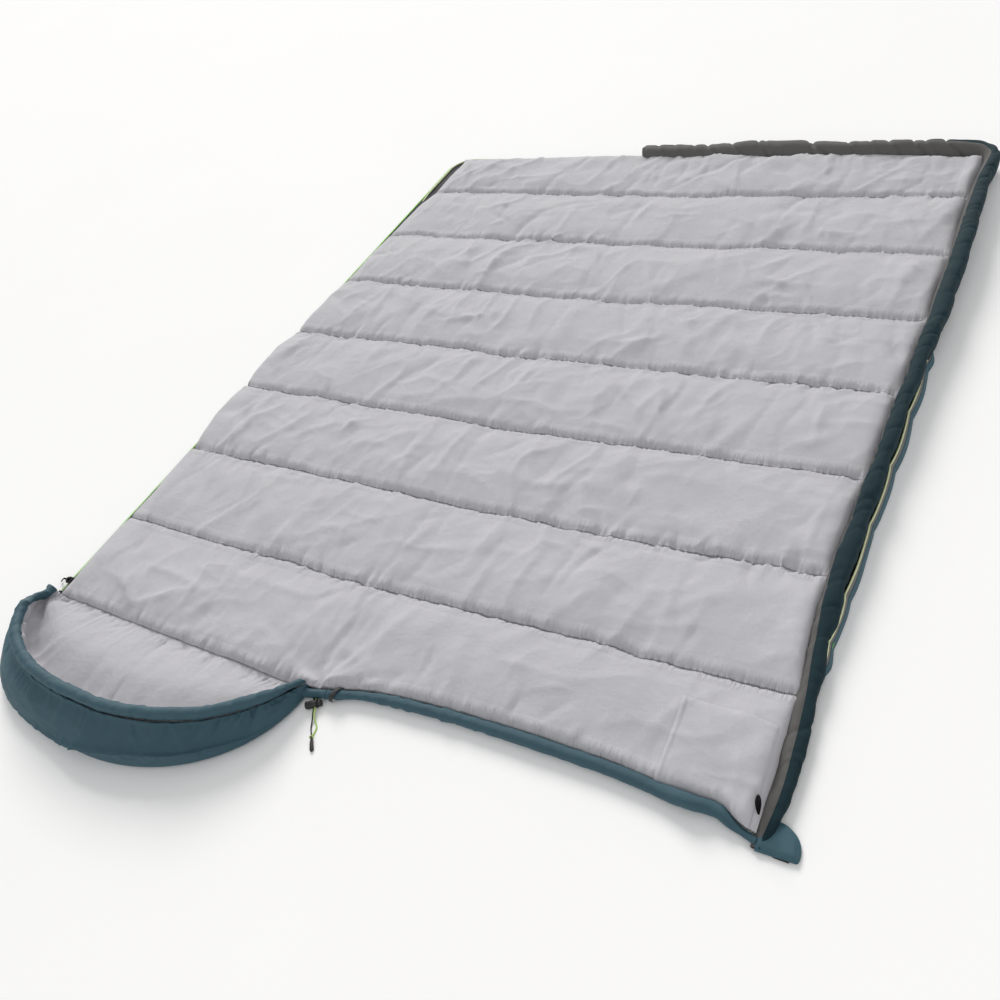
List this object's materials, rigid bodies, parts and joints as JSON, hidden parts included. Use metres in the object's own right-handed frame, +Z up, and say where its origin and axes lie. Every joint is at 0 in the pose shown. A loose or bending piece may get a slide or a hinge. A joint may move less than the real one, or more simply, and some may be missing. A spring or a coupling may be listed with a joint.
{
  "type": "rectangular sleeping bag",
  "caption": "Rectangular quilted sleeping bag with a drawcord hood, opened out flat as a quilt, with a folding cover half and a running zip slider.",
  "frame": {"origin": "the middle of the opened bag's underside, on the ground", "axes": "+Y along the bag from the hood to the foot, +X across the fold from the hooded base half to the cover half, +Z up"},
  "size_m": [1.7876, 2.3145, 0.1],
  "materials": {
    "shell_fabric": "plain weave polyester, slightly glossy",
    "lining_fabric": "soft brushed polyester",
    "inner_tube_fabric": "soft brushed polyester",
    "filling": "lofted hollow fibre",
    "zip_tape": "woven tape",
    "zip_coil": "moulded coil",
    "piping": "reflective piping",
    "black_plastic": "moulded, fine grain",
    "black_webbing": "woven webbing",
    "slider_metal": "black enamel",
    "dark_cord": "braided cord",
    "lime_cord": "braided cord",
    "spring_steel": "drawn wire"
  },
  "bodies": {
    "base_half": {"base_shell": "shell_fabric", "base_filling": "filling", "base_lining": "lining_fabric", "base_zip_tape": "zip_tape", "base_zip_coil": "zip_coil", "base_piping": "piping", "zip_top_stop": "black_plastic", "zip_retainer_box": "black_plastic", "closure_loop": "black_webbing", "draft_tube_end": "inner_tube_fabric", "cord_guide": "black_webbing", "cord_strand_dark": "dark_cord", "cord_strand_lime": "lime_cord", "cord_knot": "lime_cord", "cord_end_tab": "black_plastic"},
    "cover_half": {"cover_shell": "shell_fabric", "cover_filling": "filling", "cover_lining": "lining_fabric", "draft_tube_filling": "filling", "draft_tube_inner": "inner_tube_fabric", "draft_tube_outer": "shell_fabric", "cover_zip_tape": "zip_tape", "cover_zip_coil": "zip_coil", "cover_piping": "piping", "outer_zip_flap": "shell_fabric", "zip_insertion_pin": "black_plastic", "collar_channel": "shell_fabric", "collar_drawcord": "dark_cord", "collar_webbing": "black_webbing", "pocket_patch": "lining_fabric", "corner_tab": "black_plastic", "closure_root": "shell_fabric"},
    "hood": {"hood_shell": "shell_fabric", "hood_filling": "filling", "hood_lining": "lining_fabric", "hood_rim_channel": "shell_fabric", "hood_drawcord": "dark_cord"},
    "flap": {"closure_flap": "shell_fabric", "closure_hook": "black_webbing"},
    "slider": {"zip_slider": "slider_metal"},
    "pull": {"zip_pull": "slider_metal", "zip_pull_strap": "black_webbing"},
    "cord_lock": {"cord_lock_body": "black_plastic", "cord_lock_spring": "spring_steel"},
    "lock_button": {"cord_lock_plunger": "black_plastic"}
  },
  "joints": [
    {"name": "cover_fold", "type": "hinge", "parent": "base_half", "child": "cover_half", "pos_m": [-0.01053, 0, 0.044], "axis": [0, -1, 0], "range_deg": [0, 180]},
    {"name": "hood_lift", "type": "hinge", "parent": "base_half", "child": "hood", "pos_m": [-0.46053, -0.855, 0.022], "axis": [-1, 0, 0], "range_deg": [0, 45]},
    {"name": "flap_fold", "type": "hinge", "parent": "cover_half", "child": "flap", "pos_m": [0.84547, -0.8325, 0.006], "axis": [0, -1, 0], "range_deg": [0, 90]},
    {"name": "zip_slide", "type": "slide", "parent": "base_half", "child": "slider", "axis": [0, 1, 0], "range_m": [0, 1.86]},
    {"name": "pull_swing", "type": "hinge", "parent": "slider", "child": "pull", "pos_m": [-0.86903, -0.815, 0.0202], "axis": [0, 1, 0], "range_deg": [0, 110]},
    {"name": "lock_slide", "type": "slide", "parent": "base_half", "child": "cord_lock", "axis": [0.5, -0.866, 0], "range_m": [0, 0.012]},
    {"name": "lock_press", "type": "slide", "parent": "cord_lock", "child": "lock_button", "axis": [-0.866, -0.5, 0], "range_m": [0, 0.003], "stiffness_N_per_m": 300, "springref_m": -0.002, "deforming": ["cord_lock_spring"]}
  ]
}
